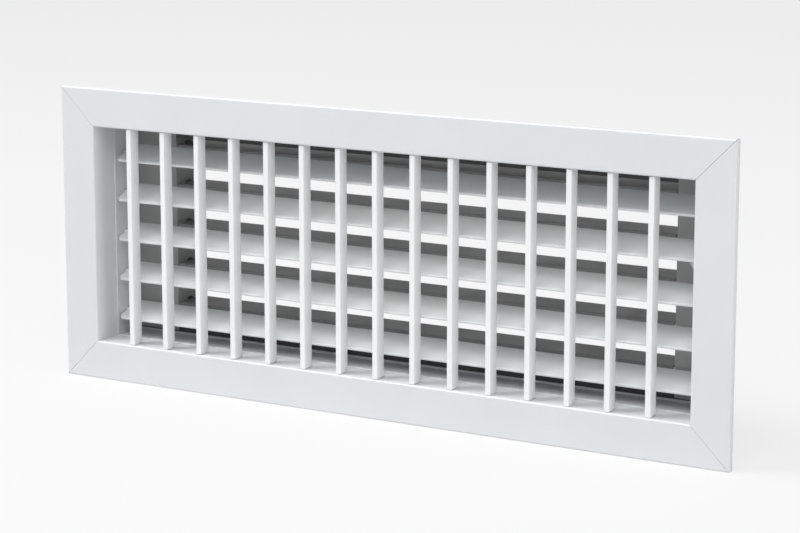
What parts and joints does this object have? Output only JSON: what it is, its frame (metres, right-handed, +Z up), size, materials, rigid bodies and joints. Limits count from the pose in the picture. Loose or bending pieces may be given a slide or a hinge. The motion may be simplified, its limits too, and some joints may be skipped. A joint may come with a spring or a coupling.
{
  "type": "double deflection supply grille",
  "caption": "White wall air grille with a mitred flange, upright blades in front, level blades behind and an opposed blade damper, all pivoting.",
  "frame": {"origin": "centre of the opening on the wall plane, which is the flange's back face", "axes": "+X across the grille to the right as seen from the room, +Y back into the duct, +Z up"},
  "size_m": [0.503, 0.0779, 0.203],
  "materials": {
    "frame_white": "satin",
    "front_blade_white": "satin",
    "rear_blade_white": "satin",
    "bush_nylon": "satin",
    "key_alloy": "satin",
    "damper_nylon": "satin",
    "damper_grey": "satin",
    "linkage_zinc": "satin",
    "screw_steel": "satin"
  },
  "bodies": {
    "grille_frame": {"frame_top": "frame_white", "frame_bottom": "frame_white", "frame_left": "frame_white", "frame_right": "frame_white", "corner_keys": "key_alloy", "corner_key_screws": "screw_steel", "front_bushes_top": "bush_nylon", "front_bushes_bottom": "bush_nylon", "rear_bushes_left": "bush_nylon", "rear_bushes_right": "bush_nylon", "damper_rail_top": "damper_grey", "damper_rail_bottom": "damper_grey", "damper_side_left": "damper_grey", "damper_side_right": "damper_grey", "damper_bushes": "damper_nylon", "damper_rivets": "screw_steel", "damper_screws": "screw_steel"},
    "front_vane_1": {"front_blade_1": "front_blade_white"},
    "front_vane_2": {"front_blade_2": "front_blade_white"},
    "front_vane_3": {"front_blade_3": "front_blade_white"},
    "front_vane_4": {"front_blade_4": "front_blade_white"},
    "front_vane_5": {"front_blade_5": "front_blade_white"},
    "front_vane_6": {"front_blade_6": "front_blade_white"},
    "front_vane_7": {"front_blade_7": "front_blade_white"},
    "front_vane_8": {"front_blade_8": "front_blade_white"},
    "front_vane_9": {"front_blade_9": "front_blade_white"},
    "front_vane_10": {"front_blade_10": "front_blade_white"},
    "front_vane_11": {"front_blade_11": "front_blade_white"},
    "front_vane_12": {"front_blade_12": "front_blade_white"},
    "front_vane_13": {"front_blade_13": "front_blade_white"},
    "front_vane_14": {"front_blade_14": "front_blade_white"},
    "front_vane_15": {"front_blade_15": "front_blade_white"},
    "rear_vane_1": {"rear_blade_1": "rear_blade_white"},
    "rear_vane_2": {"rear_blade_2": "rear_blade_white"},
    "rear_vane_3": {"rear_blade_3": "rear_blade_white"},
    "rear_vane_4": {"rear_blade_4": "rear_blade_white"},
    "rear_vane_5": {"rear_blade_5": "rear_blade_white"},
    "damper_leaf_1": {"damper_blade_1": "damper_grey", "damper_crank_1": "linkage_zinc"},
    "damper_leaf_2": {"damper_blade_2": "damper_grey", "damper_crank_2": "linkage_zinc"},
    "damper_leaf_3": {"damper_blade_3": "damper_grey", "damper_crank_3": "linkage_zinc"},
    "damper_leaf_4": {"damper_blade_4": "damper_grey", "damper_crank_4": "linkage_zinc"},
    "damper_leaf_5": {"damper_blade_5": "damper_grey", "damper_crank_5": "linkage_zinc"},
    "damper_link": {"damper_link_bar": "linkage_zinc"},
    "operator": {"damper_operator": "linkage_zinc"}
  },
  "joints": [
    {"name": "front_blade_1_turn", "type": "hinge", "parent": "grille_frame", "child": "front_vane_1", "pos_m": [-0.196, 0.00155, 0], "axis": [0, 0, 1], "range_deg": [-45, 45]},
    {"name": "front_blade_2_turn", "type": "hinge", "parent": "grille_frame", "child": "front_vane_2", "pos_m": [-0.168, 0.00155, 0], "axis": [0, 0, 1], "range_deg": [-45, 45]},
    {"name": "front_blade_3_turn", "type": "hinge", "parent": "grille_frame", "child": "front_vane_3", "pos_m": [-0.14, 0.00155, 0], "axis": [0, 0, 1], "range_deg": [-45, 45]},
    {"name": "front_blade_4_turn", "type": "hinge", "parent": "grille_frame", "child": "front_vane_4", "pos_m": [-0.112, 0.00155, 0], "axis": [0, 0, 1], "range_deg": [-45, 45]},
    {"name": "front_blade_5_turn", "type": "hinge", "parent": "grille_frame", "child": "front_vane_5", "pos_m": [-0.084, 0.00155, 0], "axis": [0, 0, 1], "range_deg": [-45, 45]},
    {"name": "front_blade_6_turn", "type": "hinge", "parent": "grille_frame", "child": "front_vane_6", "pos_m": [-0.056, 0.00155, 0], "axis": [0, 0, 1], "range_deg": [-45, 45]},
    {"name": "front_blade_7_turn", "type": "hinge", "parent": "grille_frame", "child": "front_vane_7", "pos_m": [-0.028, 0.00155, 0], "axis": [0, 0, 1], "range_deg": [-45, 45]},
    {"name": "front_blade_8_turn", "type": "hinge", "parent": "grille_frame", "child": "front_vane_8", "pos_m": [0, 0.00155, 0], "axis": [0, 0, 1], "range_deg": [-45, 45]},
    {"name": "front_blade_9_turn", "type": "hinge", "parent": "grille_frame", "child": "front_vane_9", "pos_m": [0.028, 0.00155, 0], "axis": [0, 0, 1], "range_deg": [-45, 45]},
    {"name": "front_blade_10_turn", "type": "hinge", "parent": "grille_frame", "child": "front_vane_10", "pos_m": [0.056, 0.00155, 0], "axis": [0, 0, 1], "range_deg": [-45, 45]},
    {"name": "front_blade_11_turn", "type": "hinge", "parent": "grille_frame", "child": "front_vane_11", "pos_m": [0.084, 0.00155, 0], "axis": [0, 0, 1], "range_deg": [-45, 45]},
    {"name": "front_blade_12_turn", "type": "hinge", "parent": "grille_frame", "child": "front_vane_12", "pos_m": [0.112, 0.00155, 0], "axis": [0, 0, 1], "range_deg": [-45, 45]},
    {"name": "front_blade_13_turn", "type": "hinge", "parent": "grille_frame", "child": "front_vane_13", "pos_m": [0.14, 0.00155, 0], "axis": [0, 0, 1], "range_deg": [-45, 45]},
    {"name": "front_blade_14_turn", "type": "hinge", "parent": "grille_frame", "child": "front_vane_14", "pos_m": [0.168, 0.00155, 0], "axis": [0, 0, 1], "range_deg": [-45, 45]},
    {"name": "front_blade_15_turn", "type": "hinge", "parent": "grille_frame", "child": "front_vane_15", "pos_m": [0.196, 0.00155, 0], "axis": [0, 0, 1], "range_deg": [-45, 45]},
    {"name": "rear_blade_1_turn", "type": "hinge", "parent": "grille_frame", "child": "rear_vane_1", "pos_m": [0, 0.0302, -0.0585], "axis": [1, 0, 0], "range_deg": [-64, 26]},
    {"name": "rear_blade_2_turn", "type": "hinge", "parent": "grille_frame", "child": "rear_vane_2", "pos_m": [0, 0.0302, -0.0306], "axis": [1, 0, 0], "range_deg": [-64, 26]},
    {"name": "rear_blade_3_turn", "type": "hinge", "parent": "grille_frame", "child": "rear_vane_3", "pos_m": [0, 0.0302, -0.0027], "axis": [1, 0, 0], "range_deg": [-64, 26]},
    {"name": "rear_blade_4_turn", "type": "hinge", "parent": "grille_frame", "child": "rear_vane_4", "pos_m": [0, 0.0302, 0.0252], "axis": [1, 0, 0], "range_deg": [-64, 26]},
    {"name": "rear_blade_5_turn", "type": "hinge", "parent": "grille_frame", "child": "rear_vane_5", "pos_m": [0, 0.0302, 0.0531], "axis": [1, 0, 0], "range_deg": [-64, 26]},
    {"name": "damper_blade_1_turn", "type": "hinge", "parent": "grille_frame", "child": "damper_leaf_1", "pos_m": [0, 0.05895, -0.0548], "axis": [1, 0, 0], "range_deg": [0, 85]},
    {"name": "damper_blade_2_turn", "type": "hinge", "parent": "grille_frame", "child": "damper_leaf_2", "pos_m": [0, 0.05895, -0.0269], "axis": [1, 0, 0], "range_deg": [-85, 0]},
    {"name": "damper_blade_3_turn", "type": "hinge", "parent": "grille_frame", "child": "damper_leaf_3", "pos_m": [0, 0.05895, 0.001], "axis": [1, 0, 0], "range_deg": [0, 85]},
    {"name": "damper_blade_4_turn", "type": "hinge", "parent": "grille_frame", "child": "damper_leaf_4", "pos_m": [0, 0.05895, 0.0289], "axis": [1, 0, 0], "range_deg": [-85, 0]},
    {"name": "damper_blade_5_turn", "type": "hinge", "parent": "grille_frame", "child": "damper_leaf_5", "pos_m": [0, 0.05895, 0.0568], "axis": [1, 0, 0], "range_deg": [0, 85]},
    {"name": "damper_link_slide", "type": "slide", "parent": "grille_frame", "child": "damper_link", "axis": [0, 0, -1], "range_m": [0, 0.00811]},
    {"name": "damper_operator_turn", "type": "hinge", "parent": "grille_frame", "child": "operator", "pos_m": [0.20473, 0.045, 0.01495], "axis": [0, -1, 0], "range_deg": [0, 90]}
  ],
  "couplings": [
    {"joint": "damper_blade_1_turn", "follows": "damper_link_slide", "rad_per_m": 182.99},
    {"joint": "damper_blade_2_turn", "follows": "damper_link_slide", "rad_per_m": -182.99},
    {"joint": "damper_blade_3_turn", "follows": "damper_link_slide", "rad_per_m": 182.99},
    {"joint": "damper_blade_4_turn", "follows": "damper_link_slide", "rad_per_m": -182.99},
    {"joint": "damper_blade_5_turn", "follows": "damper_link_slide", "rad_per_m": 182.99},
    {"joint": "damper_operator_turn", "follows": "damper_link_slide", "rad_per_m": 193.76}
  ]
}
